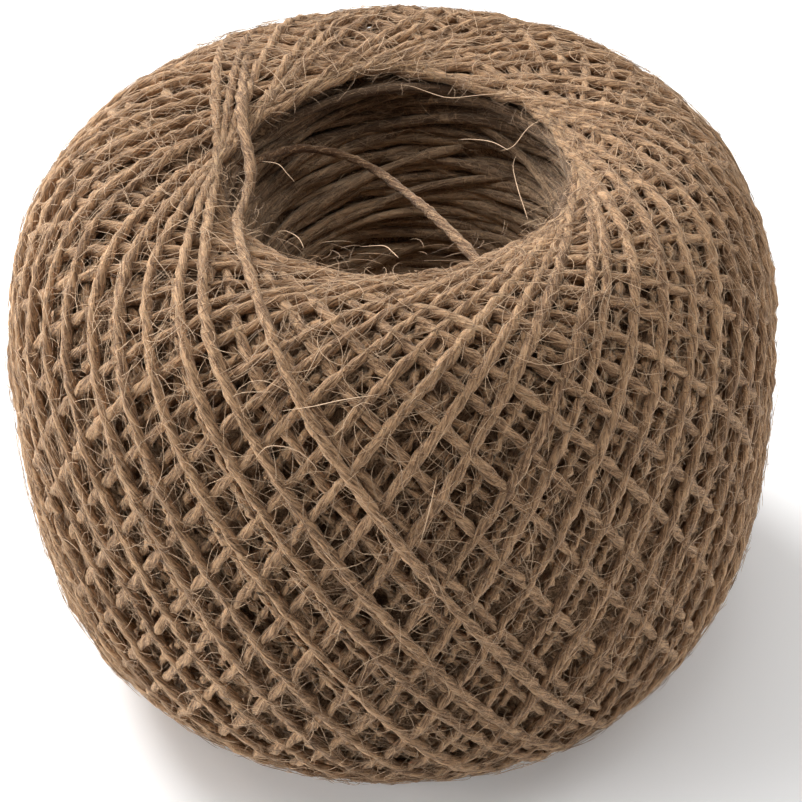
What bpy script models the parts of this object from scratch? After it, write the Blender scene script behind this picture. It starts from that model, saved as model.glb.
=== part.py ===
"""A ball of two-ply jute twine, wound round a spindle that was drawn out and left a hollow through it.

Metres, +Z up. The origin is on the surface that the ball stands on, under the middle of its outer form.
Two solids: the wound ball with its main twists as ridges, and one slack inner strand that crosses the hollow.
"""

import math

import bmesh
import bpy
import numpy as np

MM = 0.001

# Driving dimensions.
BALL_DIAMETER = 100 * MM
CREST_TO_CREST = 73.2 * MM  # between the highest and the lowest turns, before the ball settles
SETTLED = 0.3 * MM  # how far the lowest turns are pressed flat
CREST_RADIUS = 28 * MM  # where the top and bottom are highest
SHOULDER_POWER = 2.75  # 2 is a round shoulder, and a larger power is a squarer one
TWINE_DIAMETER = 1.75 * MM

# The hollow, measured from its own axis.
HOLLOW_SHIFT = 1.5 * MM  # the hollow stands off the ball's middle, along +X
LIP_RADIUS = 19.8 * MM
LIP_HEIGHT = 33.7 * MM  # of the narrowest place of either lip, from mid height
LIP_POWER = 2.2
WALL_COLUMNS = ("share_of_lip_height", "radius")
WALL_TABLE = (
    (1.00, LIP_RADIUS),
    (0.91, 21.2 * MM),
    (0.82, 21.2 * MM),
    (0.68, 19.4 * MM),
    (0.45, 17.4 * MM),
    (0.00, 16.4 * MM),
)

# The winding. Every turn lies in a slanting plane that touches both lips, a half turn apart, and each
# turn is laid a little further round than the last.
RIDGES_ROUND = 20  # main twists that slant each way
RIDGE_DEPTH = 1.3 * MM
LAST_TURN_AZIMUTH = math.radians(188)  # where the last turn touches the upper lip
BLEND_ANGLE = math.radians(12)  # over which the upper set of twists changes at the last turn
LIP_FADE = 5 * MM  # the ridges fade out this near the lips
FOOT_FADE = 8 * MM  # and this near the foot

# How finely the ball's skin is cut.
COLUMNS_ROUND = 100
ROWS_ALONG = 46

# The slack strand, from the left wall of the hollow to its front wall, as x, y, z in millimetres.
SLACK_COLUMNS = ("x", "y", "z")
SLACK_ROUTE = (
    (-15.7, 9.4, 66.0),
    (-13.9, 11.6, 65.4),
    (-11.3, 13.9, 64.5),
    (-8.6, 15.0, 63.4),
    (-5.6, 14.8, 62.6),
    (-2.0, 12.0, 62.4),
    (1.5, 6.6, 62.8),
    (4.2, 0.8, 63.9),
    (6.6, -5.0, 65.0),
    (9.1, -11.6, 66.1),
    (10.4, -15.2, 66.4),
    (11.3, -17.7, 66.4),
)
SLACK_STEP = 2.5 * TWINE_DIAMETER

JUTE_BROWN = (0.24, 0.15, 0.09, 1.0)
JUTE_ROUGHNESS = 0.9

BALL_RADIUS = BALL_DIAMETER / 2
HALF_HEIGHT = CREST_TO_CREST / 2
MIDDLE_HEIGHT = HALF_HEIGHT - SETTLED


def clear_scene():
    for obj in list(bpy.data.objects):
        bpy.data.objects.remove(obj, do_unlink=True)


def jute_material(name):
    material = bpy.data.materials.new(name)
    material.use_nodes = True
    shader = material.node_tree.nodes["Principled BSDF"]
    shader.inputs["Base Color"].default_value = JUTE_BROWN
    shader.inputs["Roughness"].default_value = JUTE_ROUGHNESS
    shader.inputs["Metallic"].default_value = 0.0
    material.diffuse_color = JUTE_BROWN
    return material


def smooth_share(value):
    """0 below 0, 1 above 1 and an even S between them."""
    share = np.clip(value, 0, 1)
    return share * share * (3 - 2 * share)


def quarter(start_radius, reach, height, power, count):
    """A quarter of a rounded outline, from its highest point to its middle, as radius and height."""
    angle = np.linspace(math.pi / 2, 0, count)
    radius = start_radius + reach * np.cos(angle) ** (2 / power)
    return np.stack([radius, height * np.sin(angle) ** (2 / power)], axis=1)


def lip_curve(count):
    """From the crest down and in to the narrowest place of the upper lip."""
    drop = HALF_HEIGHT - LIP_HEIGHT
    curve = quarter(CREST_RADIUS, LIP_RADIUS - CREST_RADIUS, drop, LIP_POWER, count)
    return curve + [0, LIP_HEIGHT]


def wall_curve(count):
    """Down the hollow's wall from the upper lip to mid height."""
    shares, radii = np.array(WALL_TABLE)[::-1].T
    share = np.linspace(1, 0, count)
    row = np.clip(np.searchsorted(shares, share, side="right") - 1, 0, len(shares) - 2)
    between = (share - shares[row]) / (shares[row + 1] - shares[row])
    radius = radii[row] + (radii[row + 1] - radii[row]) * smooth_share(between)
    return np.stack([radius, share * LIP_HEIGHT], axis=1)


def meridian():
    """The closed section of the ball as radius and height from mid height, evenly spaced, starting at
    the middle of the hollow's wall and going up the wall, over the crest and down the outside."""
    fine = 400
    outside = quarter(CREST_RADIUS, BALL_RADIUS - CREST_RADIUS, HALF_HEIGHT, SHOULDER_POWER, fine)
    inside = np.concatenate([lip_curve(fine), wall_curve(fine)[1:]])
    upper = np.concatenate([inside[::-1], outside[1:]])
    lower = upper[::-1][1:] * [1, -1]
    ring = np.concatenate([upper, lower])
    ring[:, 1] = np.maximum(ring[:, 1], -MIDDLE_HEIGHT)
    along = np.concatenate([[0], np.cumsum(np.linalg.norm(np.diff(ring, axis=0), axis=1))])
    at = np.linspace(0, along[-1], ROWS_ALONG, endpoint=False)
    return np.stack([np.interp(at, along, ring[:, 0]), np.interp(at, along, ring[:, 1])], axis=1)


def outward(section):
    """The direction out of the section at each of its rows."""
    ahead = np.roll(section, -1, axis=0) - np.roll(section, 1, axis=0)
    normal = np.stack([-ahead[:, 1], ahead[:, 0]], axis=1)
    return normal / np.linalg.norm(normal, axis=1)[:, None]


def twist_relief(radius, height, azimuth):
    """How far below the outermost turns the skin lies, from 0 to 1, where the younger set of slanting
    turns lies on the older one."""
    slant = LIP_RADIUS / LIP_HEIGHT * height / radius
    sweep = np.arccos(np.clip(slant, -1, 1))
    laid_forward = azimuth - sweep
    laid_back = azimuth + sweep
    hollows = [(1 - np.cos(RIDGES_ROUND * laid)) / 2 for laid in (laid_forward, laid_back)]
    ages = [np.mod(LAST_TURN_AZIMUTH - laid, math.tau) for laid in (laid_forward, laid_back)]
    back_is_younger = smooth_share((ages[0] - ages[1]) / (2 * BLEND_ANGLE) + 0.5)
    return hollows[0] * (1 - back_is_younger) + hollows[1] * back_is_younger


def ball_skin(section):
    """The skin's points, a row for each place of the section, and how deep each lies in the twists."""
    azimuth = np.arange(COLUMNS_ROUND) * math.tau / COLUMNS_ROUND
    radius, height = section.T[:, :, None]
    out, rise = outward(section).T[:, :, None]
    from_lip = smooth_share((radius - LIP_RADIUS - LIP_FADE / 2) / LIP_FADE)
    from_foot = smooth_share((height + MIDDLE_HEIGHT) / FOOT_FADE)
    depth = RIDGE_DEPTH * from_lip * from_foot * twist_relief(radius, height, azimuth)
    hollow_share = 1 - smooth_share((radius - LIP_RADIUS) / (BALL_RADIUS - LIP_RADIUS))
    turned = radius - depth * out
    across = turned * np.cos(azimuth) + HOLLOW_SHIFT * hollow_share
    return np.stack([across, turned * np.sin(azimuth), MIDDLE_HEIGHT + height - depth * rise], axis=2), depth


def wound_ball():
    points, depth = ball_skin(meridian())
    rows, columns = depth.shape
    build = bmesh.new()
    grid = [[build.verts.new(point) for point in row] for row in points]
    for row in range(rows):
        above = (row + 1) % rows
        for column in range(columns):
            beside = (column + 1) % columns
            places = [(row, column), (above, column), (above, beside), (row, beside)]
            rising = abs(depth[row, column] - depth[above, beside])
            falling = abs(depth[above, column] - depth[row, beside])
            if falling < rising:
                places.append(places.pop(0))
            first, second, third, fourth = (grid[r][c] for r, c in places)
            build.faces.new((first, second, third))
            build.faces.new((first, third, fourth))
    bmesh.ops.recalc_face_normals(build, faces=build.faces)
    mesh = bpy.data.meshes.new("wound_ball")
    build.to_mesh(mesh)
    build.free()
    mesh.shade_smooth()
    ball = bpy.data.objects.new("wound_ball", mesh)
    mesh.materials.append(jute_material("wound_jute"))
    bpy.context.scene.collection.objects.link(ball)
    return ball


def smooth_route(route, step):
    """Points a step apart on the smooth curve through the route's own points."""
    ends = np.concatenate([[2 * route[0] - route[1]], route, [2 * route[-1] - route[-2]]])
    share = np.linspace(0, 1, 20, endpoint=False)[:, None]
    runs = []
    for before, start, end, after in zip(ends, ends[1:], ends[2:], ends[3:]):
        bend = 2 * before - 5 * start + 4 * end - after
        twist = 3 * (start - end) + after - before
        runs.append((2 * start + (end - before) * share + bend * share**2 + twist * share**3) / 2)
    line = np.concatenate([*runs, route[-1:]])
    along = np.concatenate([[0], np.cumsum(np.linalg.norm(np.diff(line, axis=0), axis=1))])
    at = np.linspace(0, along[-1], round(along[-1] / step) + 1)
    return np.stack([np.interp(at, along, line[:, axis]) for axis in range(3)], axis=1)


def slack_strand():
    line = smooth_route(np.array(SLACK_ROUTE) * MM, SLACK_STEP)
    curve = bpy.data.curves.new("slack_strand", "CURVE")
    curve.dimensions = "3D"
    curve.bevel_depth = TWINE_DIAMETER / 2
    curve.bevel_resolution = 2
    curve.use_fill_caps = True
    spline = curve.splines.new("POLY")
    spline.points.add(len(line) - 1)
    spline.points.foreach_set("co", np.column_stack([line, np.ones(len(line))]).ravel())
    curve.materials.append(jute_material("slack_jute"))
    strand = bpy.data.objects.new("slack_strand", curve)
    bpy.context.scene.collection.objects.link(strand)
    return strand


def main():
    clear_scene()
    wound_ball()
    slack_strand()


main()
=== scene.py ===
"""Ball of two-ply jute twine, wound on a spindle that was drawn out.

The winding is laid turn by turn, as a winding machine lays it: every turn lies in a slanting plane that
touches the upper lip and, a half turn on, the lower one, and each turn starts a little further round.
A relief of the ball records what has been laid, so a later turn passes over the earlier ones.
Lengths are in millimetres while the winding is worked out, and in metres in the meshes.
"""

import math

import bpy
import numpy as np
from mathutils import Matrix, Vector


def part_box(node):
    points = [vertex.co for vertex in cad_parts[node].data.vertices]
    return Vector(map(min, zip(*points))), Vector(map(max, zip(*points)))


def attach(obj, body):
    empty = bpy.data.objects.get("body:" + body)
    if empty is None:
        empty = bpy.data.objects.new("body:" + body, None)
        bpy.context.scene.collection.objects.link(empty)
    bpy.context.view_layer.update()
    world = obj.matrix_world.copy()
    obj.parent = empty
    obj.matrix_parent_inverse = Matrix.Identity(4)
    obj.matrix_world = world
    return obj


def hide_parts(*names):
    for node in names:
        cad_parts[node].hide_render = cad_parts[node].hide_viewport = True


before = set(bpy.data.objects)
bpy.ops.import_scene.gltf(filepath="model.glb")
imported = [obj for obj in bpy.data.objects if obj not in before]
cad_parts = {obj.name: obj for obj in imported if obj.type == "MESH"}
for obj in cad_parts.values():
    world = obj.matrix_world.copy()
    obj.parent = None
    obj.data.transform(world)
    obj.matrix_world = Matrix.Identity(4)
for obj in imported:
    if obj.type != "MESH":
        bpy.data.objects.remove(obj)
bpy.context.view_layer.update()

MM = 0.001
BODY = "root"

# The ball's form, from the frame. The hollow's values are those of the frame's solid.
BALL_LOW, BALL_HIGH = (np.array(corner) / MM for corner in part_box("wound_ball"))
BALL_RADIUS = (BALL_HIGH[0] - BALL_LOW[0]) / 2
SETTLED = 0.3
CREST_TO_CREST = 73.2
HALF_HEIGHT = CREST_TO_CREST / 2
MIDDLE_HEIGHT = HALF_HEIGHT - SETTLED
CREST_RADIUS = 28.0
SHOULDER_POWER = 2.75
HOLLOW_SHIFT = 1.5
LIP_RADIUS = 19.8
LIP_HEIGHT = 33.7
WALL_SHARES = (0.0, 0.45, 0.68, 0.82, 0.91, 1.0)
WALL_RADII = (16.4, 17.4, 19.4, 21.2, 21.2, 19.8)

# The twine.
STRAND_RADIUS = 0.875
BODY_SHARE = 0.87  # the share of a strand's radius that is twisted fibre; the rest is fuzz
PLY_PITCH = 7.2  # along the strand, for one full turn of the two plies
STEP = 0.9  # between the rings of a strand's mesh
CROWN = 0.9  # the share of its radius that a pressed strand's crown stands over its middle
SIDES = 8  # corners of a strand's rings
LOBE = 0.12  # how deep the furrows between the plies are, as a share of the radius
ROUGH = 0.09  # how unevenly the fibres fill a strand
FIBRE_LIE = 0.55  # the share of the plies' twist that the fibres on the surface don't follow

# The winding.
ROUND_TURNS = 47.6  # turns in one trip round the ball, so the next trip's fall between them
TRIPS = 4.2
TURNS = round(ROUND_TURNS * TRIPS)
PRECESSION = math.tau / ROUND_TURNS
LAST_TOUCH = math.radians(188)  # where the last turn touches the upper lip
# How far the last turn lies to the right of its own plane, by its place from front to back.
LAST_ASIDE_Y = (-33, -20, -12, -9, -5.5, -1.2, 3, 8.7, 17, 25, 34, 42)
LAST_ASIDE = (0.6, 0.2, -0.1, 0.2, 1.3, 2.6, 3.1, 3.7, 5.2, 6.8, 5.0, 0)
LIP_TOUCH_RADIUS = LIP_RADIUS + 0.75
LIP_DROP = 1.6  # from the crest to the strands that touch the lip
SIDE_GROWTH = 0.9  # how much one trip round adds to the side
LIP_GROWTH = 2.6  # and to the lips
PRESS = 0.72  # how far crossing strands press into each other
CORE_DEPTH = 2.2  # the matted inside lies this far under the outermost strands' middles
CORE_COLUMNS = 180
CORE_WALL_ROWS = 20
LAST_TRIP = 1.05  # turns laid this many trips ago, or later, are drawn finely
PIECE_TRIANGLES = 170_000  # a piece is closed once it holds more than this

# The strand that lies slack across the hollow, as the frame's solid has it.
SLACK_DIAMETER = 1.75
SLACK_SHARES = (0.66, 0.7, 0.84)  # of that diameter, at its start, on its way and at its end
# Painted shade along the slack strand: darkest at its start, which lies in the lip's shadow, and paler
# towards its end.
SLACK_SHADE_TONES = (-0.5, -0.25, 0.3)
SLACK_SIDES, SLACK_LOBE, SLACK_STEP = 12, 0.07, 0.45
SLACK_ROUTE = (
    (-15.7, 9.4, 66.0),
    (-13.9, 11.6, 65.4),
    (-11.3, 13.9, 64.5),
    (-8.6, 15.0, 63.4),
    (-5.6, 14.8, 62.6),
    (-2.0, 12.0, 62.4),
    (1.5, 6.6, 62.8),
    (4.2, 0.8, 63.9),
    (6.6, -5.0, 65.0),
    (9.1, -11.6, 66.1),
    (10.4, -15.2, 66.4),
    (11.3, -17.7, 66.4),
)

# Where that strand goes on into the winding, from its two ends.
SLACK_START = ((-15.6, 9.5, 65.97), (-17.3, 8.3, 66.4), (-19.8, 7.6, 66.6))
SLACK_END = ((11.25, -17.55, 66.4), (12.2, -19.7, 66.3), (13.4, -22.0, 66.0))

# The longest stray fibres, which hang in the hollow and lie over the front.
LONG_FIBRES = (
    ((-15.6, 2.3, 70.3), (-13.4, 1.5, 70.3), (-12.2, -0.1, 69.8), (-11.2, -1.4, 69.3)),
    ((2.3, 18.3, 70.8), (3.8, 17.9, 70.8), (5.9, 17.1, 70.3))
    + ((8.6, 15.5, 70.3), (12.5, 15.9, 70.3), (17.2, 15.5, 70.8)),
    ((16.5, 3.3, 69.3), (15.9, 1.3, 68.8), (16.2, -2.8, 68.3), (16.7, -7.2, 68.3), (16.9, -11.5, 69.3)),
    ((9.4, 10.1, 67.3), (10.9, 9.4, 67.8), (13.6, 7.8, 68.3), (15.7, 4.0, 69.3)),
    ((14.5, 5.6, 68.3), (16.2, 5.1, 69.3), (18.2, 7.6, 70.3), (20.2, 8.2, 71.3)),
    ((-13.3, -13.9, 70.8), (-12.2, -13.1, 70.3), (-10.7, -14.6, 70.3), (-9.9, -17.8, 70.8)),
    ((-3.4, -18.3, 71.3), (-0.6, -18.3, 71.3), (0.4, -20.3, 71.8), (1.2, -22.8, 72.6)),
    ((-12.6, -42.6, 66.8), (-9.1, -42.9, 67.5), (-5.6, -42.9, 68.3), (-1.1, -42.6, 68.7)),
    ((4.4, -47.3, 60.8), (3.6, -48.5, 57.6), (2.8, -49.2, 54.5), (2.2, -49.6, 52.4)),
    ((-15.8, -44.6, 61.6), (-14.1, -44.3, 63.2), (-11.0, -45.2, 63.2))
    + ((-8.9, -46.4, 61.5), (-9.7, -46.6, 60.5)),
)

# Colours, as linear red, green and blue.
TWINE_PALE, TWINE_DARK = (0.56, 0.345, 0.19), (0.125, 0.063, 0.03)
INNER_PALE, INNER_DARK = (0.52, 0.34, 0.20), (0.11, 0.063, 0.035)
FELT_PALE, FELT_DARK = (0.55, 0.35, 0.205), (0.12, 0.07, 0.04)
HAIR_PALE, HAIR_DARK = (0.80, 0.56, 0.36), (0.13, 0.075, 0.04)
SHEEN_TINT = (1.0, 0.86, 0.7)

# Camera. Its distance is in ball radii, from the middle of the ball.
CAMERA_ELEVATION = math.radians(38.8)
CAMERA_DISTANCE = 6.034
CAMERA_ROLL = math.radians(2.17)
CAMERA_LENS = 101.5
CAMERA_SHIFT = (0.0090, -0.0259)

# Round lamps: name, place and diameter in metres, power.
LAMPS = (
    ("key_light", (-0.4, 0.5, 0.5), 0.35, 8.2),
    ("top_light", (0, 0, 0.85), 0.5, 2.2),
    ("top_left_light", (-0.45, 0, 0.72), 0.4, 1.3),
    ("top_right_light", (0.45, 0, 0.72), 0.4, 1.2),
    ("left_light", (-0.7, -0.1, 0.12), 0.3, 4.2),
    ("right_light", (0.7, -0.1, 0.12), 0.3, 1.4),
)
FLOOR_HALF_SIDE = 3.0

rng = np.random.default_rng(7)


def smooth_share(value):
    """From 0 to 1 with a soft start and end, and flat outside."""
    share = np.clip(value, 0, 1)
    return share * share * (3 - 2 * share)


def slow_noise(at, spacing, spread):
    """A smooth random curve, read at these places. Its values change over about this spacing."""
    count = int(np.max(at) / spacing) + 4
    values = rng.normal(0, spread, count)
    place = at / spacing
    low = np.floor(place).astype(int)
    share = smooth_share(place - low)
    return values[low] * (1 - share) + values[low + 1] * share


# ---------------------------------------------------------------------------------------------------
# The form that the outermost strands' middles follow


def toward_lip(radius):
    """0 on the ball's side and 1 at its lips, from the distance to the axis."""
    begins, width = 36, 14
    return smooth_share((begins - radius) / width)


def hollow_shift(radius):
    """How far the winding is shifted with the hollow: wholly at the lips, not at all at the side."""
    return HOLLOW_SHIFT * (1 - smooth_share((radius - LIP_RADIUS) / (BALL_RADIUS - LIP_RADIUS)))


def wall_reach(share):
    """The radius of the hollow's wall at this share of the lip's height, over or under the middle."""
    return np.interp(np.abs(share), WALL_SHARES, WALL_RADII)


def round_axis(reach, azimuth, height, shift=HOLLOW_SHIFT):
    """Places in millimetres, from polar ones round the hollow's axis and over the ball's middle."""
    place = [reach * np.cos(azimuth) + shift, reach * np.sin(azimuth), MIDDLE_HEIGHT + height]
    return np.stack(place, axis=-1)


class Section:
    """The outline from the upper lip over the shoulder and down to the lower lip, evenly spaced."""

    def __init__(self):
        quarter_points, lip_points, even_points = 500, 120, 600
        angle = np.linspace(math.pi / 2, 0, quarter_points)
        power = 2 / SHOULDER_POWER
        radius = CREST_RADIUS + (BALL_RADIUS - CREST_RADIUS) * np.cos(angle) ** power
        height = HALF_HEIGHT * np.sin(angle) ** power
        out, rise = self.outward(radius, height)
        radius = radius - STRAND_RADIUS * out
        height = height - STRAND_RADIUS * rise
        inner = np.linspace(LIP_TOUCH_RADIUS, CREST_RADIUS, lip_points)[:-1]
        fall = (CREST_RADIUS - inner) / (CREST_RADIUS - LIP_TOUCH_RADIUS)
        radius = np.concatenate([inner, radius])
        height = np.concatenate([height[0] - LIP_DROP * fall**2, height])
        radius = np.concatenate([radius, radius[-2::-1]])
        height = np.concatenate([height, -height[-2::-1]])
        along = np.concatenate([[0], np.cumsum(np.hypot(np.diff(radius), np.diff(height)))])
        self.length = along[-1]
        self.along = np.linspace(0, self.length, even_points)
        self.radius = np.interp(self.along, along, radius)
        self.height = np.interp(self.along, along, height)
        out, rise = self.outward(self.radius, self.height)
        upright = smooth_share((CREST_RADIUS + 3 - self.radius) / 3)
        out = np.maximum(out, 0) * (1 - upright)
        rise = rise * (1 - upright) + np.sign(self.height) * upright
        size = np.hypot(out, rise)
        self.out, self.rise = out / size, rise / size
        self.growth = SIDE_GROWTH + (LIP_GROWTH - SIDE_GROWTH) * toward_lip(self.radius)
        self.slant = self.height / self.radius

    @staticmethod
    def outward(radius, height):
        """The outward direction at each place of an outline."""
        across, up = np.gradient(radius), np.gradient(height)
        size = np.hypot(across, up)
        return -up / size, across / size

    def read(self, values, along):
        return np.interp(along, self.along, values)


def on_ball(section, azimuth, along, lift):
    """Places on the ball in millimetres, and the outward direction there. lift is the height of a
    strand's middle over its place as an outermost strand, so it is negative further in."""
    radius = section.read(section.radius, along)
    height = section.read(section.height, along)
    out = section.read(section.out, along)
    rise = section.read(section.rise, along)
    from_lip = np.minimum(along, section.length - along)
    # Near the lips, turns that lie deeper also lie further from the hollow.
    undercut = 1.3 * smooth_share(-lift / 3) * (1 - smooth_share(from_lip / 7))
    place = round_axis(radius + lift * out + undercut, azimuth, height, hollow_shift(radius))
    place[..., 2] += lift * rise
    normal = np.stack([out * np.cos(azimuth), out * np.sin(azimuth), rise], axis=-1)
    return place, normal


# ---------------------------------------------------------------------------------------------------
# Laying the turns


def lay_route(section):
    """The whole route of the twine, as azimuth and distance along the section, in order of laying."""
    places_in_turn = 720
    turned = np.linspace(0, math.tau * TURNS + math.pi, places_in_turn * TURNS)

    # How much less than the tightest each turn slants, by chance; the last one is the tightest, and the
    # three before it lie clear of it.
    steepness = LIP_TOUCH_RADIUS / section.height[0]
    spread = rng.uniform(0.0, 0.085, TURNS + 2)
    spread[TURNS] = 0.0
    spread[TURNS - 3 : TURNS] = 0.05, 0.065, 0.07
    loosened = 1 + np.interp(turned, np.arange(TURNS + 2) * math.tau, spread)
    start = LAST_TOUCH - PRECESSION * TURNS
    uneven = slow_noise(turned, math.pi, math.radians(0.8)) + slow_noise(turned, 0.35, math.radians(0.3))

    within = np.mod(turned, math.tau)
    folded = np.minimum(within, math.tau - within)
    slant = np.cos(folded) / (steepness * loosened)
    along = np.interp(-slant, -section.slant, section.along)
    azimuth = start + turned * (1 + PRECESSION / math.tau) + uneven

    place, _ = on_ball(section, azimuth, along, np.zeros(len(along)))
    run = np.concatenate([[0], np.cumsum(np.linalg.norm(np.diff(place, axis=0), axis=1))])
    at = np.arange(0, run[-1], STEP)
    turned = np.interp(at, run, turned)
    return at, turned, np.interp(at, run, azimuth), np.interp(at, run, along)


class Relief:
    """How high the laid strands stand, on a grid over azimuth and distance along the section."""

    ROUND, ALONG = 1200, 440

    def __init__(self, section):
        self.section = section
        spots = np.linspace(0, section.length, self.ALONG)
        start = -TRIPS * section.read(section.growth, spots) - STRAND_RADIUS
        self.top = np.repeat(start[None, :], self.ROUND, axis=0)

    def cells(self, azimuth, along):
        column = np.floor(np.mod(azimuth, math.tau) / math.tau * self.ROUND).astype(int) % self.ROUND
        row = np.rint(along / self.section.length * (self.ALONG - 1)).astype(int)
        return column, np.clip(row, 0, self.ALONG - 1)

    def read(self, azimuth, along):
        return self.top[self.cells(azimuth, along)]

    def raise_to(self, azimuth, along, height):
        column, row = self.cells(azimuth, along)
        for beside in (-1, 0, 1):
            np.maximum.at(self.top, ((column + beside) % self.ROUND, row), height)


# Steps across a strand, as shares of its radius, and the height of its round back at each.
SIDEWAYS = np.linspace(-0.95, 0.95, 9)
ROUNDED = np.sqrt(1 - SIDEWAYS**2)


def footprint(section, azimuth, along):
    """Azimuth and distance along the section under a strand, for each place and sideways step."""
    radius = section.read(section.radius, along)
    east = np.gradient(azimuth) * radius
    south = np.gradient(along)
    size = np.maximum(np.hypot(east, south), 1e-9)
    side = SIDEWAYS[:, None] * STRAND_RADIUS
    return azimuth - side * (south / size) / radius, along + side * (east / size)


def pull_taut(place, normal, needed, rounds=24):
    """The lifts of a taut strand that rests on what is needed under it."""
    lift = needed.copy()
    for _ in range(rounds):
        at = place + lift[:, None] * normal
        middle = (at[:-2] + at[2:]) / 2
        rise = ((middle - at[1:-1]) * normal[1:-1]).sum(axis=1)
        lift[1:-1] = np.maximum(needed[1:-1], lift[1:-1] + rise)
    return lift


def lay_turns(section):
    """Lays the twine half a turn at a time, each on the relief of what lies under it."""
    run, turned, azimuth, along = lay_route(section)
    place, normal = on_ball(section, azimuth, along, np.zeros(len(along)))
    relief = Relief(section)
    growth = section.read(section.growth, along)
    trips_ago = (turned[-1] - turned) / math.tau / ROUND_TURNS
    slack = 0.15 + np.abs(slow_noise(run, 9.0, 0.22))
    ceiling = slack - growth * trips_ago
    lift = np.zeros(len(run))
    halves = np.floor(turned / math.pi).astype(int)
    edges = np.concatenate([[0], np.nonzero(np.diff(halves))[0] + 1, [len(run)]])
    for start, end in zip(edges[:-1], edges[1:]):
        if end - start < 4:
            lift[start:end] = lift[max(start - 1, 0)]
            continue
        part = slice(start, end)
        sides = footprint(section, azimuth[part], along[part])
        under = relief.read(*sides) + PRESS * STRAND_RADIUS * ROUNDED[:, None]
        needed = np.minimum(under.max(axis=0), ceiling[part])
        raised = pull_taut(place[part], normal[part], needed)
        lift[part] = np.minimum(raised, ceiling[part])
        fine = np.linspace(0, end - start - 1, 3 * (end - start))
        every = np.arange(end - start)
        fine_azimuth, fine_along, fine_lift = (
            np.interp(fine, every, values[part]) for values in (azimuth, along, lift)
        )
        east, south = footprint(section, fine_azimuth, fine_along)
        relief.raise_to(east, south, fine_lift + CROWN * STRAND_RADIUS * ROUNDED[:, None])
    kernel = np.array([1, 2, 3, 2, 1]) / 9
    lift = np.convolve(np.pad(lift, 2, mode="edge"), kernel, mode="valid")
    return run, turned, azimuth, along, lift, relief


def seen_from_outside(section, azimuth, along, lift, relief):
    """Which of the route's places show between the strands that lie over them."""
    sides = footprint(section, azimuth, along)
    over = relief.read(*sides) - (lift + CROWN * STRAND_RADIUS * ROUNDED[:, None])
    hardly_covered = 0.12
    clear = (over < hardly_covered).any(axis=0) & (lift > -CORE_DEPTH - 0.5 * STRAND_RADIUS)
    wide = clear.copy()
    for step in (1, 2, 3):
        wide[step:] |= clear[:-step]
        wide[:-step] |= clear[step:]
    return wide


# ---------------------------------------------------------------------------------------------------
# Meshes and their maps

# The corners of a face on the map: each one's step along a strip and round it.
QUAD_CORNERS = np.array([(0, 0), (0, 1), (1, 1), (1, 0)])
TIP_CORNERS = np.array([(0, 0.5), (1, 1), (1, 0)])


def new_mesh(name, points, corners, starts):
    """A mesh from its points, the point at each corner and the corner that each face starts with."""
    mesh = bpy.data.meshes.new(name)
    mesh.vertices.add(len(points))
    mesh.vertices.foreach_set("co", (points * MM).astype(np.float32).ravel())
    mesh.loops.add(len(corners))
    mesh.loops.foreach_set("vertex_index", corners.astype(np.int32))
    mesh.polygons.add(len(starts))
    mesh.polygons.foreach_set("loop_start", starts.astype(np.int32))
    mesh.update(calc_edges=True)
    mesh.shade_smooth()
    return mesh


def give_values(mesh, name, values):
    """One number, or one place, for each point of the mesh."""
    kind, key = ("FLOAT", "value") if values.ndim == 1 else ("FLOAT_VECTOR", "vector")
    layer = mesh.attributes.new(name, kind, "POINT")
    layer.data.foreach_set(key, values.astype(np.float32).ravel())


def new_object(name, mesh, material):
    mesh.materials.append(material)
    made = bpy.data.objects.new(name, mesh)
    bpy.context.scene.collection.objects.link(made)
    return made


def as_piece(piece, node):
    """Says which body the piece rides on and which solid it stands for."""
    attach(piece, BODY)
    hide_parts(node)
    return piece


def side_faces(index):
    """The faces between rings of points. index is (rings, points in a ring)."""
    beside = np.roll(index, -1, axis=1)
    return np.stack([index[:-1], beside[:-1], beside[1:], index[1:]], axis=-1).reshape(-1, 4)


def strip_places(segments, sides, corners):
    """Places on the map for strips that are cut into segments and laid in rows, one after another.
    corners are (corner, 2): each corner's step along a segment and round it, for one side's face."""
    rows = max(1, round(math.sqrt(segments * STEP / (math.tau * STRAND_RADIUS))))
    across = math.ceil(segments / rows)
    segment = np.arange(segments)[:, None, None]
    side = np.arange(sides)[None, :, None]
    along = (segment % across + corners[None, None, :, 0]) / across
    round_it = (side + corners[None, None, :, 1]) / sides
    up = (segment // across + 0.04 + 0.92 * round_it) / rows
    return np.stack([along + 0 * up, up + 0 * along], axis=-1).reshape(-1, 2)


def squeezed(places, low, high):
    """The places with their upward direction squeezed into this part of the map."""
    return np.stack([places[:, 0], low + (high - low) * places[:, 1]], axis=1)


def lay_map(mesh, places):
    """The map's place for each corner of the mesh."""
    layer = mesh.uv_layers.new(name="OFBake")
    layer.uv.foreach_set("vector", np.clip(places, 0, 1).astype(np.float32).ravel())


# ---------------------------------------------------------------------------------------------------
# Strands


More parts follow.
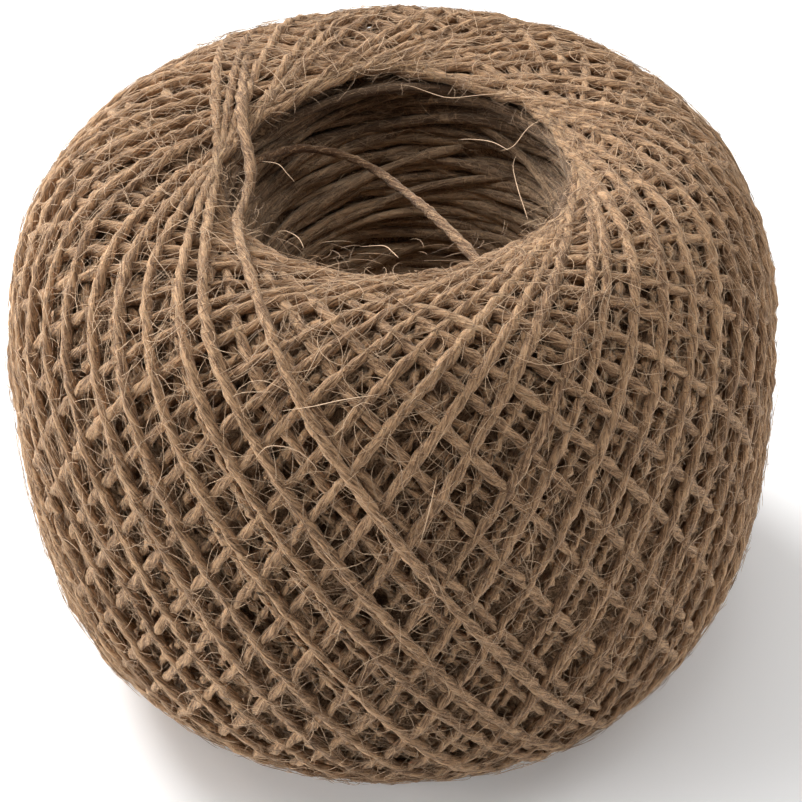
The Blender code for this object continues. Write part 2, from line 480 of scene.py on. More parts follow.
def strand_rings(centre, normal, radius, run, sides=SIDES, lobe=LOBE, twist=1.0):
    """The rings of a two-ply strand round its centre line, with each point's place along its fibres and
    how far it is up on a ply's crown. twist is a share of the usual one."""
    ahead = np.gradient(centre, axis=0)
    ahead /= np.linalg.norm(ahead, axis=1)[:, None]
    up = normal - (normal * ahead).sum(axis=1)[:, None] * ahead
    up /= np.linalg.norm(up, axis=1)[:, None]
    side = np.cross(ahead, up)
    corner = np.arange(sides) * math.tau / sides
    rate = twist * math.tau / PLY_PITCH
    turned = corner[None, :] - (rate * run)[:, None]
    reach = radius[:, None] * (1 - lobe + lobe * np.cos(2 * corner))[None, :]
    reach = reach * (1 + rng.normal(0, ROUGH, reach.shape))
    over, beside = reach * np.cos(turned), reach * np.sin(turned)
    points = centre[:, None] + over[..., None] * up[:, None] + beside[..., None] * side[:, None]
    lie = corner[None, :] - (FIBRE_LIE * rate * run)[:, None]
    ahead_by = np.broadcast_to(run[:, None], reach.shape)
    own = np.stack([reach * np.cos(lie), reach * np.sin(lie), ahead_by], axis=-1)
    ply = np.broadcast_to(np.cos(2 * corner), over.shape)
    return points, own, ply


class StrandMesh:
    """Gathers strand tubes into one mesh."""

    def __init__(self, sides=SIDES):
        self.sides = sides
        self.points, self.own, self.ply, self.tone = [], [], [], []
        self.quads, self.caps = [], []
        self.count = 0

    def add(self, points, own, ply, tone):
        rings, sides = points.shape[:2]
        index = self.count + np.arange(rings * sides).reshape(rings, sides)
        self.quads.append(side_faces(index))
        self.caps.append(index[0, ::-1])
        self.caps.append(index[-1])
        self.points.append(points.reshape(-1, 3))
        self.own.append(own.reshape(-1, 3))
        self.ply.append(ply.ravel())
        self.tone.append(tone.ravel())
        self.count += rings * sides

    def triangles(self):
        return sum(len(quads) * 2 for quads in self.quads) + len(self.caps) * (self.sides - 2)

    def build(self, name, material):
        quads = np.concatenate(self.quads)
        caps = np.array(self.caps)
        corners = np.concatenate([quads.ravel(), caps.ravel()])
        cap_starts = len(quads) * 4 + np.arange(len(caps)) * self.sides
        starts = np.concatenate([np.arange(len(quads)) * 4, cap_starts])
        mesh = new_mesh(name, np.concatenate(self.points), corners, starts)
        strips = strip_places(len(quads) // self.sides, self.sides, QUAD_CORNERS)
        corner = np.arange(self.sides) * math.tau / self.sides
        end = 0.5 + 0.45 * np.stack([np.cos(corner), np.sin(corner)], axis=1)
        ends = (np.arange(len(caps))[:, None, None] * [1.0, 0.0] + end[None]) / [len(caps), 1.0]
        places = [squeezed(strips, 0, 0.98), squeezed(ends.reshape(-1, 2), 0.982, 1)]
        lay_map(mesh, np.concatenate(places))
        give_values(mesh, "strand_place", np.concatenate(self.own))
        give_values(mesh, "ply_crown", np.concatenate(self.ply))
        give_values(mesh, "strand_tone", np.concatenate(self.tone))
        return new_object(name, mesh, material)


def runs_of(mask):
    """Start and end of each stretch where the mask holds."""
    change = np.diff(np.concatenate([[0], mask.astype(int), [0]]))
    return list(zip(np.nonzero(change == 1)[0], np.nonzero(change == -1)[0]))


# ---------------------------------------------------------------------------------------------------
# Materials


def set_inputs(node, values):
    for name, value in values.items():
        node.inputs[name].default_value = value


def new_material(name):
    """A material with just its main shader."""
    material = bpy.data.materials.new(name)
    material.use_nodes = True
    nodes = material.node_tree.nodes
    nodes.clear()
    output = nodes.new("ShaderNodeOutputMaterial")
    shader = nodes.new("ShaderNodeBsdfPrincipled")
    material.node_tree.links.new(shader.outputs["BSDF"], output.inputs["Surface"])
    return material, shader


def jute_group():
    """Jute fibre seen along a twisted strand: streaks that run with the fibres, painted shade in the
    furrows between the plies, and pale and dark lengths."""
    group = bpy.data.node_groups.new("jute_fibre", "ShaderNodeTree")
    face = group.interface
    for name, kind, value in (
        ("Pale", "NodeSocketColor", (*TWINE_PALE, 1)),
        ("Dark", "NodeSocketColor", (*TWINE_DARK, 1)),
        ("Furrow Shade", "NodeSocketFloat", 0.5),
        ("Streak", "NodeSocketFloat", 0.6),
        ("Hair", "NodeSocketFloat", 0.7),
    ):
        socket = face.new_socket(name, in_out="INPUT", socket_type=kind)
        socket.default_value = value
    face.new_socket("Color", in_out="OUTPUT", socket_type="NodeSocketColor")
    face.new_socket("Height", in_out="OUTPUT", socket_type="NodeSocketFloat")
    face.new_socket("Roughness", in_out="OUTPUT", socket_type="NodeSocketFloat")
    nodes, links = group.nodes, group.links
    given = nodes.new("NodeGroupInput")
    result = nodes.new("NodeGroupOutput")
    place = nodes.new("ShaderNodeTexCoord").outputs["Object"]

    def attribute(name, output):
        node = nodes.new("ShaderNodeAttribute")
        node.attribute_name = name
        return node.outputs[output]

    def maths(operation, first, second=None, third=None):
        node = nodes.new("ShaderNodeMath")
        node.operation = operation
        for socket, value in zip(node.inputs, (first, second, third)):
            if value is None:
                continue
            if isinstance(value, (int, float)):
                socket.default_value = value
            else:
                links.new(value, socket)
        return node.outputs[0]

    def total(first, *others):
        for other in others:
            first = maths("ADD", first, other)
        return first

    def stretched_noise(across, along, detail):
        """Noise drawn out along the fibres, with this many waves in a millimetre each way."""
        scale = nodes.new("ShaderNodeVectorMath")
        scale.operation = "MULTIPLY"
        scale.inputs[1].default_value = (across, across, along)
        links.new(attribute("strand_place", "Vector"), scale.inputs[0])
        noise = nodes.new("ShaderNodeTexNoise")
        set_inputs(noise, {"Scale": 1.0, "Detail": detail, "Roughness": 0.6})
        links.new(scale.outputs[0], noise.inputs["Vector"])
        return noise.outputs["Fac"]

    def hair_lines(scale, width, detail):
        """Thin curling lines, as matted hairs make."""
        noise = nodes.new("ShaderNodeTexNoise")
        set_inputs(noise, {"Scale": scale, "Detail": detail, "Distortion": 0.6})
        links.new(place, noise.inputs["Vector"])
        off = maths("ABSOLUTE", maths("SUBTRACT", noise.outputs["Fac"], 0.5))
        line = nodes.new("ShaderNodeMapRange")
        line.interpolation_type = "SMOOTHSTEP"
        set_inputs(line, {"From Min": 0, "From Max": width, "To Min": 1, "To Max": 0})
        links.new(off, line.inputs["Value"])
        return line.outputs["Result"]

    fine = stretched_noise(4.2, 0.42, 3.0)
    finest = stretched_noise(9.0, 0.9, 1.0)
    broad = stretched_noise(1.3, 0.16, 2.0)
    tone = attribute("strand_tone", "Fac")
    ply = attribute("ply_crown", "Fac")

    both = total(maths("MULTIPLY", fine, 0.7), maths("MULTIPLY", finest, 0.3))
    streak = maths("MULTIPLY", maths("SUBTRACT", both, 0.5), given.outputs["Streak"])
    patch = maths("MULTIPLY", maths("SUBTRACT", broad, 0.5), 1.6)
    # Painted shade: darker in the furrows between the plies, the further a point lies from a ply's crown.
    furrow_shade = maths("MULTIPLY", maths("SUBTRACT", ply, 1.0), maths("MULTIPLY", given.outputs["Furrow Shade"], 0.5))
    hairs = total(hair_lines(520, 0.028, 0.5), hair_lines(800, 0.028, 0.5))
    hairs = maths("MULTIPLY", hairs, given.outputs["Hair"])
    mixed = total(maths("MULTIPLY", streak, 8.0), patch, tone, furrow_shade, hairs)
    share = nodes.new("ShaderNodeMapRange")
    share.clamp = True
    set_inputs(share, {"From Min": -0.5, "From Max": 1.3})
    links.new(mixed, share.inputs["Value"])
    blend = nodes.new("ShaderNodeMix")
    blend.data_type = "RGBA"
    links.new(share.outputs["Result"], blend.inputs["Factor"])
    links.new(given.outputs["Dark"], blend.inputs["A"])
    links.new(given.outputs["Pale"], blend.inputs["B"])
    links.new(blend.outputs["Result"], result.inputs["Color"])
    links.new(total(maths("MULTIPLY", fine, 0.7), maths("MULTIPLY", hairs, 0.4)), result.inputs["Height"])
    links.new(maths("MULTIPLY_ADD", fine, -0.25, 0.92), result.inputs["Roughness"])
    return group


def jute_material(name, group, pale, dark, furrow_shade, streak):
    """Twine: the fibres' group, a little light through the fuzz and a faint sheen."""
    material, shader = new_material(name)
    nodes, links = material.node_tree.nodes, material.node_tree.links
    fibre = nodes.new("ShaderNodeGroup")
    fibre.node_tree = group
    set_inputs(fibre, {"Pale": (*pale, 1), "Dark": (*dark, 1), "Furrow Shade": furrow_shade, "Streak": streak})
    raised = nodes.new("ShaderNodeBump")
    set_inputs(raised, {"Strength": 1.0, "Distance": 0.0003})
    links.new(fibre.outputs["Color"], shader.inputs["Base Color"])
    links.new(fibre.outputs["Roughness"], shader.inputs["Roughness"])
    links.new(fibre.outputs["Height"], raised.inputs["Height"])
    links.new(raised.outputs["Normal"], shader.inputs["Normal"])
    set_inputs(shader, {
        "Specular IOR Level": 0.25,
        "Subsurface Weight": 0.25,
        "Subsurface Radius": (1.0, 0.75, 0.5),
        "Subsurface Scale": 0.0008,
        "Sheen Weight": 0.25,
        "Sheen Roughness": 0.5,
        "Sheen Tint": (*SHEEN_TINT, 1),
    })
    return material


def felt_material(name):
    """Matted jute, for the inside of the ball that shows in the gaps."""
    material, shader = new_material(name)
    nodes, links = material.node_tree.nodes, material.node_tree.links
    place = nodes.new("ShaderNodeTexCoord")
    noise = nodes.new("ShaderNodeTexNoise")
    set_inputs(noise, {"Scale": 1400, "Detail": 3, "Distortion": 2.5})
    links.new(place.outputs["Object"], noise.inputs["Vector"])
    tones = nodes.new("ShaderNodeValToRGB")
    for element, position, colour in zip(tones.color_ramp.elements, (0.35, 0.68), (FELT_DARK, FELT_PALE)):
        element.position = position
        element.color = (*colour, 1)
    links.new(noise.outputs["Fac"], tones.inputs["Fac"])
    links.new(tones.outputs["Color"], shader.inputs["Base Color"])
    raised = nodes.new("ShaderNodeBump")
    set_inputs(raised, {"Distance": 0.0004})
    links.new(noise.outputs["Fac"], raised.inputs["Height"])
    links.new(raised.outputs["Normal"], shader.inputs["Normal"])
    set_inputs(shader, {"Roughness": 0.95, "Specular IOR Level": 0.1})
    return material


def fibre_material(name):
    """Stray hairs, from dark to pale by each one's tone."""
    material, shader = new_material(name)
    nodes, links = material.node_tree.nodes, material.node_tree.links
    tone = nodes.new("ShaderNodeAttribute")
    tone.attribute_name = "strand_tone"
    blend = nodes.new("ShaderNodeMix")
    blend.data_type = "RGBA"
    blend.inputs["A"].default_value = (*HAIR_DARK, 1)
    blend.inputs["B"].default_value = (*HAIR_PALE, 1)
    links.new(tone.outputs["Fac"], blend.inputs["Factor"])
    links.new(blend.outputs["Result"], shader.inputs["Base Color"])
    set_inputs(shader, {"Roughness": 0.6, "Specular IOR Level": 0.4})
    return material


# ---------------------------------------------------------------------------------------------------
# Stray fibres


def fibre_mesh(name, paths, radius, tone, material):
    """Three-sided hairs, pointed at both ends, all in one mesh. paths is (hairs, points, 3)."""
    hairs, points = paths.shape[:2]
    ahead = np.gradient(paths, axis=1)
    ahead /= np.maximum(np.linalg.norm(ahead, axis=2, keepdims=True), 1e-9)
    helper = np.where(np.abs(ahead[..., 2:]) < 0.8, [0.0, 0.0, 1.0], [1.0, 0.0, 0.0])
    up = np.cross(ahead, helper)
    up /= np.linalg.norm(up, axis=2, keepdims=True)
    side = np.cross(ahead, up)
    rings = points - 2
    corner = np.arange(3) * math.tau / 3
    share = np.linspace(0, 1, points)[1:-1]
    swell = np.sqrt(np.sin(math.pi * share))
    reach = radius[:, None, None] * swell[None, :, None]
    around = np.cos(corner)[None, None, :, None] * up[:, 1:-1, None]
    around = around + np.sin(corner)[None, None, :, None] * side[:, 1:-1, None]
    ring_points = paths[:, 1:-1, None] + reach[..., None] * around
    every = np.concatenate([paths[:, :1], ring_points.reshape(hairs, rings * 3, 3), paths[:, -1:]], axis=1)
    each = every.shape[1]
    ring = 1 + np.arange(rings * 3).reshape(rings, 3)
    beside = np.roll(ring, -1, axis=1)
    first = np.stack([np.zeros(3, int), beside[0], ring[0]], axis=-1)
    last = np.stack([np.full(3, each - 1), ring[-1], beside[-1]], axis=-1)
    triangles = np.concatenate([first, last])
    offset = (np.arange(hairs) * each)[:, None, None]
    quads = (side_faces(ring)[None] + offset).reshape(-1, 4)
    triangles = (triangles[None] + offset).reshape(-1, 3)
    corners = np.concatenate([quads.ravel(), triangles.ravel()])
    starts = np.concatenate([np.arange(len(quads)) * 4, len(quads) * 4 + np.arange(len(triangles)) * 3])
    mesh = new_mesh(name, every.reshape(-1, 3), corners, starts)
    body = strip_places(hairs * (rings - 1), 3, QUAD_CORNERS)
    tips = strip_places(hairs * 2, 3, TIP_CORNERS)
    share = (rings - 1) / (rings + 1)
    lay_map(mesh, np.concatenate([squeezed(body, 0, share), squeezed(tips, share, 1)]))
    give_values(mesh, "strand_tone", np.repeat(tone, each))
    return as_piece(new_object(name, mesh, material), "wound_ball")


def curled_heading(hairs, points, start, curl, wander):
    """Headings along each hair: a steady curl of its own and a little wander."""
    share = np.linspace(0, 1, points)
    steady = rng.normal(0, curl, (hairs, 1)) * share
    phase = rng.uniform(0, math.tau, (hairs, 1))
    loose = rng.normal(0, wander, (hairs, 1)) * np.sin(share * rng.uniform(2, 6, (hairs, 1)) + phase)
    return start[:, None] + steady + loose


def travelled(heading, step):
    """How far each hair has gone in the two directions at each of its points."""
    start = np.zeros((len(heading), 1))
    first = np.cumsum(np.cos(heading[:, 1:]) * step, axis=1)
    second = np.cumsum(np.sin(heading[:, 1:]) * step, axis=1)
    return np.concatenate([start, first], axis=1), np.concatenate([start, second], axis=1)


def hairs_on_ball(section, relief, azimuth, along, lift, heading, length, rise, hug):
    """Hairs that run over the ball from these places. heading is 0 round the ball and a right angle
    down the section; rise is how far each stands off in its middle; hug holds where it lies on top. At
    the lips a hair turns back."""
    hairs, points = heading.shape
    step = (length / (points - 1))[:, None]
    radius = section.read(section.radius, along)[:, None]
    run, fall = travelled(heading, step)
    azimuths = azimuth[:, None] + run / radius
    nearest, furthest = 0.2, section.length - 0.2
    alongs = nearest + np.abs(along[:, None] + fall - nearest)
    alongs = furthest - np.abs(furthest - alongs)
    share = np.linspace(0, 1, points)[None, :]
    off = lift[:, None] + rise[:, None] * np.sin(share * 2.2) * (0.4 + 0.6 * share)
    under = relief.read(azimuths, alongs)
    on_top = np.maximum(off, under + 0.06)
    for _ in range(3):
        on_top[:, 1:-1] = (on_top[:, :-2] + 2 * on_top[:, 1:-1] + on_top[:, 2:]) / 4
    off = np.where(hug[:, None], on_top, off)
    place, _ = on_ball(section, azimuths, alongs, off)
    place[..., 2] = np.maximum(place[..., 2], 0.12)
    return place


def stray_fibres(section, laid, material):
    """Hairs all over the winding, in the hollow and on its lip. The roots lie on strands that show."""
    _, _, azimuth, along, lift, relief = laid
    level = relief.read(azimuth, along)
    from_lip = np.minimum(along, section.length - along)
    sparser = rng.random(len(along)) < 0.15 + 0.85 * smooth_share((from_lip - 0.5) / 4)
    open_to_air = np.nonzero((level - lift < 2.2 * STRAND_RADIUS) & (lift > -CORE_DEPTH) & sparser)[0]
    heading = np.arctan2(np.gradient(along), np.gradient(azimuth) * section.read(section.radius, along))

    def scatter(name, count, points, lengths, spread, curl, wander, rises, radii, hugging, tones):
        at = rng.choice(open_to_air, count)
        side = rng.uniform(-0.9, 0.9, count)
        radius = section.read(section.radius, along[at])
        across = side * STRAND_RADIUS
        begin_azimuth = azimuth[at] - across * np.sin(heading[at]) / radius
        begin_along = np.clip(along[at] + across * np.cos(heading[at]), 0.2, section.length - 0.2)
        begin_lift = lift[at] + STRAND_RADIUS * np.sqrt(1 - side**2) * CROWN
        start = heading[at] + np.where(rng.random(count) < 0.5, 0, math.pi) + rng.normal(0, spread, count)
        headings = curled_heading(count, points, start, curl, wander)
        length = rng.uniform(*lengths, count)
        rise = np.abs(rng.normal(0, rises, count))
        hug = rng.random(count) < hugging
        places = hairs_on_ball(
            section, relief, begin_azimuth, begin_along, begin_lift, headings, length, rise, hug
        )
        tone = np.clip(rng.normal(*tones, count), 0, 1)
        return fibre_mesh(name, places, rng.uniform(*radii, count), tone, material)

    # Count, points along each, least and greatest length, spread of its heading, curl, wander, rise, least
    # and greatest radius, share that lies on top of the strands, and tone with its spread.
    scatter("lying_fibres", 5000, 5, (2.0, 6.0), 0.35, 0.5, 0.2, 0.25, (0.03, 0.05), 0.8, (0.42, 0.28))
    scatter("loose_fibres", 7200, 6, (2.5, 6.5), 0.9, 1.2, 0.3, 0.3, (0.03, 0.042), 0.5, (0.5, 0.26))
    scatter("curled_fibres", 4200, 9, (5.0, 13.0), 0.9, 1.6, 0.4, 0.3, (0.03, 0.042), 0.55, (0.6, 0.24))
    hollow_fibres(1900, material)
    rim_fibres(210, material)
    long_fibres(material)


def hollow_fibres(count, material):
    """Hairs along the wall of the hollow."""
    share = np.linspace(0, 1, 6)[None, :]
    level = rng.uniform(-0.6, 0.96, (count, 1)) * LIP_HEIGHT
    length = rng.uniform(2, 6, (count, 1))
    slope = rng.normal(0, 0.3, (count, 1))
    turn = rng.normal(0, 0.6, (count, 1))
    wall = wall_reach(level / LIP_HEIGHT)
    azimuth = rng.uniform(0, math.tau, (count, 1)) + length * share / wall
    height = level + length * (slope * share + turn * share**2 / 2)
    reach = wall + 0.4 - np.abs(rng.normal(0, 0.6, (count, 1))) * np.sin(math.pi * share)
    places = round_axis(reach, azimuth, height)
    places[..., 2] = np.clip(places[..., 2], 0.2, MIDDLE_HEIGHT + LIP_HEIGHT)
    tone = np.clip(rng.normal(0.3, 0.22, count), 0, 1)
    return fibre_mesh("hollow_fibres", places, rng.uniform(0.028, 0.045, count), tone, material)


def rim_fibres(count, material):
    """Short hairs on the upper lip: some lie along it, some stand out over the hollow."""
    points = 7
    azimuth = rng.uniform(0, math.tau, count)
    reach = LIP_TOUCH_RADIUS + rng.uniform(-0.6, 1.2, count)
    heading = azimuth + math.pi * rng.choice([0.55, 0.75, 1.0, 1.45], count) + rng.normal(0, 0.35, count)
    headings = curled_heading(count, points, heading, 0.9, 0.25)
    step = (rng.uniform(1.5, 5.5, count) / (points - 1))[:, None]
    east, north = travelled(headings, step)
    share = np.linspace(0, 1, points)[None, :]
    rise = rng.normal(0.2, 0.4, (count, 1)) * np.sin(2.5 * share)
    rise = rise - rng.uniform(0, 1.5, (count, 1)) * share**2
    places = np.stack(
        [
            (reach * np.cos(azimuth))[:, None] + east + HOLLOW_SHIFT,
            (reach * np.sin(azimuth))[:, None] + north,
            MIDDLE_HEIGHT + LIP_HEIGHT + 0.9 + rng.normal(0, 0.5, (count, 1)) + rise,
        ],
        axis=-1,
    )
    tone = np.clip(rng.normal(0.35, 0.2, count), 0, 1)
    return fibre_mesh("rim_fibres", places, rng.uniform(0.025, 0.038, count), tone, material)


def long_fibres(material):
    """The pale hairs with a route of their own."""
    points, radius, tone = 16, 0.06, 0.95
    lines = []
    for route in LONG_FIBRES:
        line, _ = smooth_route(route, 0.2)
        lines.append(line[np.linspace(0, len(line) - 1, points).astype(int)])
    every = np.ones(len(lines))
    return fibre_mesh("long_fibres", np.array(lines), radius * every, tone * every, material)


# ---------------------------------------------------------------------------------------------------
# The ball


def outer_strands(section, laid, material):
    """The stretches of the laid turns that show, the newest drawn finely and those under them plainly."""
    run, turned, azimuth, along, lift, relief = laid
    shown = seen_from_outside(section, azimuth, along, lift, relief)
    place, normal = on_ball(section, azimuth, along, lift)
    last = smooth_share(1 - np.abs(turned - math.tau * TURNS + 0.4) / 2.2)
    aside = np.interp(place[:, 1], LAST_ASIDE_Y, LAST_ASIDE)
    place[:, 0] += aside * np.minimum(last * 3, 1)
    place += rng.normal(0, 0.03, place.shape)
    thick = BODY_SHARE * STRAND_RADIUS * (1 + slow_noise(run, 11.0, 0.08) + slow_noise(run, 3.0, 0.06))
    place[:, 2] = np.maximum(place[:, 2], STRAND_RADIUS * 0.8)
    tone = 0.5 + slow_noise(run, 60.0, 0.13) + slow_noise(run, 12.0, 0.10)
    trips_ago = (turned[-1] - turned) / math.tau / ROUND_TURNS
    made = 0
    # Painted light: the under strands' tone is raised by 0.25, so the shaded gaps between the newest
    # strands show paler.
    for name, sides, every, lobe, painted_light, newest, oldest in (
        ("wound_strands", SIDES, 1, LOBE, 0.0, -1, LAST_TRIP),
        ("under_strands", 6, 2, 0.05, 0.25, LAST_TRIP, TRIPS + 1),
    ):
        gathered = StrandMesh(sides)
        for start, end in runs_of(shown & (trips_ago > newest) & (trips_ago <= oldest)):
            if end - start < 5:
                continue
            part = slice(start, end, every)
            points, own, ply = strand_rings(place[part], normal[part], thick[part], run[part], sides, lobe)
            points[..., 2] = np.maximum(points[..., 2], 0.05)
            gathered.add(points, own, ply, np.repeat(tone[part, None] + painted_light, sides, axis=1))
            if gathered.triangles() > PIECE_TRIANGLES:
                made += 1
                as_piece(gathered.build(f"{name}_{made}", material), "wound_ball")
                gathered = StrandMesh(sides)
        if gathered.points:
            made += 1
            as_piece(gathered.build(f"{name}_{made}", material), "wound_ball")


def packed_core(section, material):
    """The matted inside of the ball, which closes the gaps between the outer strands."""
    inset = CORE_DEPTH * (0.9 + 0.5 * toward_lip(section.radius))
    outer = np.stack([section.radius - inset * section.out, section.height - inset * section.rise], axis=1)
    shares = np.linspace(-0.9, 0.9, CORE_WALL_ROWS)
    wall = np.stack([wall_reach(shares) + 2.3, shares * LIP_HEIGHT], axis=1)
    ring = np.concatenate([outer[6:-6:8], wall])
    azimuth = np.arange(CORE_COLUMNS) * math.tau / CORE_COLUMNS
    uneven = rng.normal(0, 0.22, (len(ring), CORE_COLUMNS))
    reach = ring[:, None, 0] + uneven
    points = np.stack(
        [
            reach * np.cos(azimuth) + hollow_shift(ring[:, :1]),
            reach * np.sin(azimuth),
            np.maximum(MIDDLE_HEIGHT + ring[:, None, 1] + uneven, 0.5),
        ],
        axis=-1,
    )
    rows, columns = points.shape[:2]
    index = np.arange(rows * columns).reshape(rows, columns)
    below = np.roll(index, -1, axis=0)
    quads = np.stack([index, below, np.roll(below, -1, axis=1), np.roll(index, -1, axis=1)], axis=-1)
    starts = np.arange(rows * columns) * 4
    mesh = new_mesh("packed_core", points.reshape(-1, 3), quads.ravel(), starts)
    row, column = np.meshgrid(np.arange(rows), np.arange(columns), indexing="ij")
    places = np.stack([column, row], axis=-1)[:, :, None] + QUAD_CORNERS
    lay_map(mesh, places.reshape(-1, 2) / (columns, rows))
    return as_piece(new_object("packed_core", mesh, material), "wound_ball")


def hollow_wall_turns(material):
    """The long arcs of older turns that make the wall of the hollow."""
    sides, arcs_in_row = 6, 4
    gathered = StrandMesh(sides)
    level = LIP_HEIGHT - 1.3
    while level > 3 - LIP_HEIGHT:
        wall = wall_reach(level / LIP_HEIGHT)
        for start in rng.uniform(0, math.tau) + np.arange(arcs_in_row) * math.tau / arcs_in_row:
            half_angle = rng.uniform(0.6, 1.4)
            angle = np.linspace(-half_angle, half_angle, 12)
            lean = rng.normal(-1.8 if level > 8 else -0.3, 2.2)
            sunk = rng.uniform(-0.2, 1.2)
            reach = wall + STRAND_RADIUS + sunk + 1.8 * np.abs(angle / half_angle) ** 3
            reach = reach + slow_noise(angle + half_angle, 0.5, 0.25)
            height = level + lean * angle + slow_noise(angle + half_angle, 0.6, 0.45)
            height = np.minimum(height, LIP_HEIGHT - 1.5)
            azimuth = start + angle
            centre = round_axis(reach, azimuth, height)
            normal = np.stack([-np.cos(azimuth), -np.sin(azimuth), 0 * azimuth], axis=-1)
            run = rng.uniform(0, 500) + reach * angle
            thick = STRAND_RADIUS * rng.uniform(0.62, 0.92)
            thick = thick * (1 + slow_noise(angle + half_angle, 0.2, 0.14))
            points, own, ply = strand_rings(centre, normal, thick, run, sides, lobe=0.0, twist=0.12)
            # Painted shade: the wall's turns are darker towards the lip, under its overhang, and paler
            # lower down, where light from above reaches.
            tone = np.interp(level, (12, 24, 33), (0.6, 0.3, -0.2)) + rng.normal(0, 0.2)
            gathered.add(points, own, ply, np.full((len(angle), sides), tone))
        level -= rng.uniform(0.34, 0.62)
    return as_piece(gathered.build("hollow_wall_turns", material), "wound_ball")


def smooth_route(points, step):
    """A smooth line through the points (Catmull-Rom), with places this far apart."""
    points = np.array(points)
    padded = np.concatenate([[2 * points[0] - points[1]], points, [2 * points[-1] - points[-2]]])
    share = np.linspace(0, 1, 24, endpoint=False)[:, None]
    line = []
    for before, start, end, after in zip(padded, padded[1:], padded[2:], padded[3:]):
        line.append(
            start
            + share / 2 * (end - before)
            + share**2 * (before - 2.5 * start + 2 * end - after / 2)
            + share**3 * (1.5 * (start - end) + (after - before) / 2)
        )
    line = np.concatenate([*line, points[-1:]])
    along = np.concatenate([[0], np.cumsum(np.linalg.norm(np.diff(line, axis=0), axis=1))])
    at = np.linspace(0, along[-1], int(along[-1] / step) + 1)
    return np.stack([np.interp(at, along, line[:, axis]) for axis in range(3)], axis=1), at


def add_slack(gathered, centre, run, thick, tone):
    """A stretch of slack strand with these radii and tones along it."""
    normal = np.repeat([[0.0, 0.0, 1.0]], len(centre), axis=0)
    points, own, ply = strand_rings(centre, normal, thick, run, gathered.sides, SLACK_LOBE)
    gathered.add(points, own, ply, np.repeat(tone[:, None], gathered.sides, axis=1))


def slack_strand(material):
    """The strand that has come loose and lies across the hollow."""
    centre, run = smooth_route(SLACK_ROUTE, SLACK_STEP)
    thinned = np.interp(run / run[-1], (0, 0.35, 1), SLACK_SHARES)
    thick = thinned * SLACK_DIAMETER / 2 * (1 + slow_noise(run, 3.0, 0.06))
    strand = StrandMesh(SLACK_SIDES)
    # The tones paint the strand's shade: dark at its start, paler at its end.
    add_slack(strand, centre, run, thick, np.interp(run / run[-1], (0, 0.4, 1), SLACK_SHADE_TONES))
    piece = as_piece(strand.build("slack_twine", material), "slack_strand")
    return piece


def slack_strand_ends(material):
    """The slack strand's two ends, from where its solid stops to inside the winding."""
    ends = StrandMesh(SLACK_SIDES)
    # Each end keeps the painted shade of the strand's own end.
    for route, share, tone in (
        (SLACK_START, SLACK_SHARES[0], SLACK_SHADE_TONES[0]),
        (SLACK_END, SLACK_SHARES[-1], SLACK_SHADE_TONES[-1]),
    ):
        centre, run = smooth_route(route, SLACK_STEP)
        thick = np.full(len(run), share * SLACK_DIAMETER / 2)
        add_slack(ends, centre, run, thick, np.full(len(run), tone))
    return as_piece(ends.build("slack_twine_ends", material), "wound_ball")


# ---------------------------------------------------------------------------------------------------
# Camera, floor and light


def add_camera():
    """The camera, aimed at the ball's middle and rolled a little."""
    data = bpy.data.cameras.new("studio_camera")
    data.lens = CAMERA_LENS
    data.sensor_width = 36
    data.shift_x, data.shift_y = CAMERA_SHIFT
    data.clip_start, data.clip_end = 0.01, 20
    camera = bpy.data.objects.new("studio_camera", data)
    bpy.context.scene.collection.objects.link(camera)
    forward = Vector((0, math.cos(CAMERA_ELEVATION), -math.sin(CAMERA_ELEVATION)))
    level = Vector((1, 0, 0))
    upward = level.cross(forward)
    right = math.cos(CAMERA_ROLL) * level - math.sin(CAMERA_ROLL) * upward
    above = math.cos(CAMERA_ROLL) * upward + math.sin(CAMERA_ROLL) * level
    middle = Vector((0, 0, MIDDLE_HEIGHT * MM))
    turn = Matrix((right, above, -forward)).transposed().to_4x4()
    camera.matrix_world = Matrix.Translation(middle - forward * CAMERA_DISTANCE * BALL_RADIUS * MM) @ turn
    bpy.context.scene.camera = camera


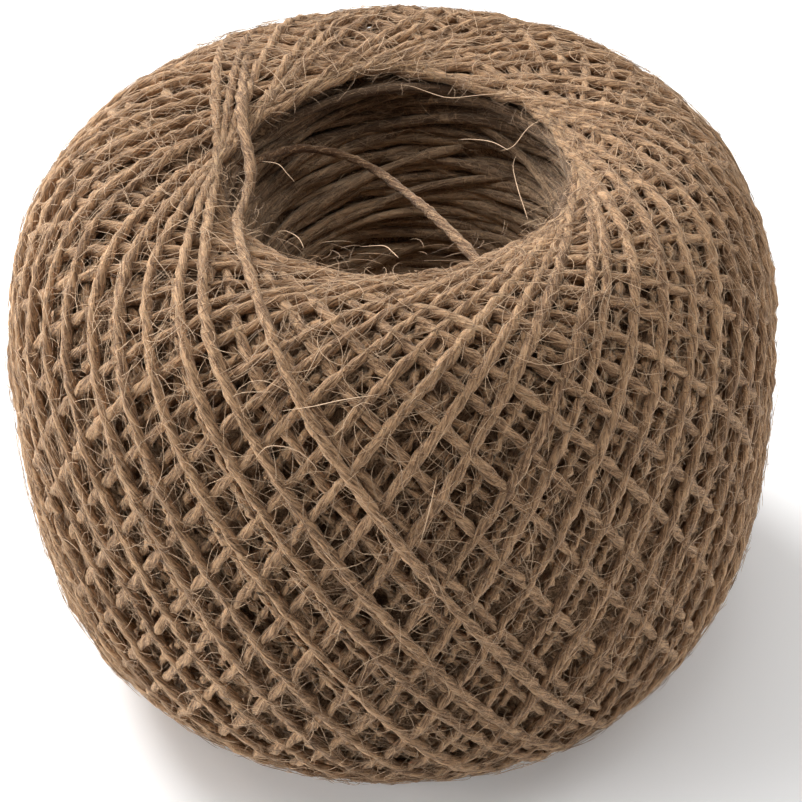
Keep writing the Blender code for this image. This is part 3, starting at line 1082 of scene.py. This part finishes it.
def add_lamp(name, place, size, power):
    """A round lamp that shines at the ball's middle."""
    data = bpy.data.lights.new(name, "AREA")
    data.shape = "DISK"
    data.size = size
    data.energy = power
    lamp = bpy.data.objects.new(name, data)
    bpy.context.scene.collection.objects.link(lamp)
    lamp.location = place
    aim = Vector((0, 0, MIDDLE_HEIGHT * MM)) - Vector(place)
    lamp.rotation_euler = aim.to_track_quat("-Z", "Y").to_euler()


def add_world():
    """Faint light from all round, and a paler backdrop where nothing else is seen."""
    world = bpy.data.worlds.new("studio")
    world.use_nodes = True
    nodes, links = world.node_tree.nodes, world.node_tree.links
    faint = nodes["Background"]
    set_inputs(faint, {"Color": (1, 1, 1, 1), "Strength": 0.07})
    seen = nodes.new("ShaderNodeBackground")
    set_inputs(seen, {"Color": (1, 1, 1, 1), "Strength": 0.55})
    path = nodes.new("ShaderNodeLightPath")
    either = nodes.new("ShaderNodeMixShader")
    links.new(path.outputs["Is Camera Ray"], either.inputs[0])
    links.new(faint.outputs[0], either.inputs[1])
    links.new(seen.outputs[0], either.inputs[2])
    links.new(either.outputs[0], nodes["World Output"].inputs["Surface"])
    bpy.context.scene.world = world


def add_studio():
    """A plain pale floor, the backdrop and the lamps."""
    material, shader = new_material("pale_floor")
    set_inputs(shader, {"Base Color": (0.9, 0.9, 0.9, 1), "Roughness": 0.9})
    set_inputs(shader, {"Emission Color": (1, 1, 1, 1), "Emission Strength": 0.16})
    mesh = bpy.data.meshes.new("floor")
    half = FLOOR_HALF_SIDE
    corners = [(-half, -half, 0), (half, -half, 0), (half, half, 0), (-half, half, 0)]
    mesh.from_pydata(corners, [], [(0, 1, 2, 3)])
    floor = new_object("floor", mesh, material)
    add_world()
    for name, place, size, power in LAMPS:
        add_lamp(name, place, size, power)
    bpy.context.scene.view_settings.view_transform = "Standard"


section = Section()
jute = jute_group()
# The twine's furrows between the plies get painted shade 0.4, the inner twine's 0.2.
twine = jute_material("jute_twine", jute, TWINE_PALE, TWINE_DARK, furrow_shade=0.4, streak=1.0)
inner_twine = jute_material("inner_twine", jute, INNER_PALE, INNER_DARK, furrow_shade=0.2, streak=0.7)
matted_fibre = felt_material("matted_fibre")
stray_fibre = fibre_material("stray_fibre")

add_camera()
slack_strand(twine)
laid = lay_turns(section)
outer_strands(section, laid, twine)
packed_core(section, matted_fibre)
hollow_wall_turns(inner_twine)
stray_fibres(section, laid, stray_fibre)
slack_strand_ends(twine)
add_studio()
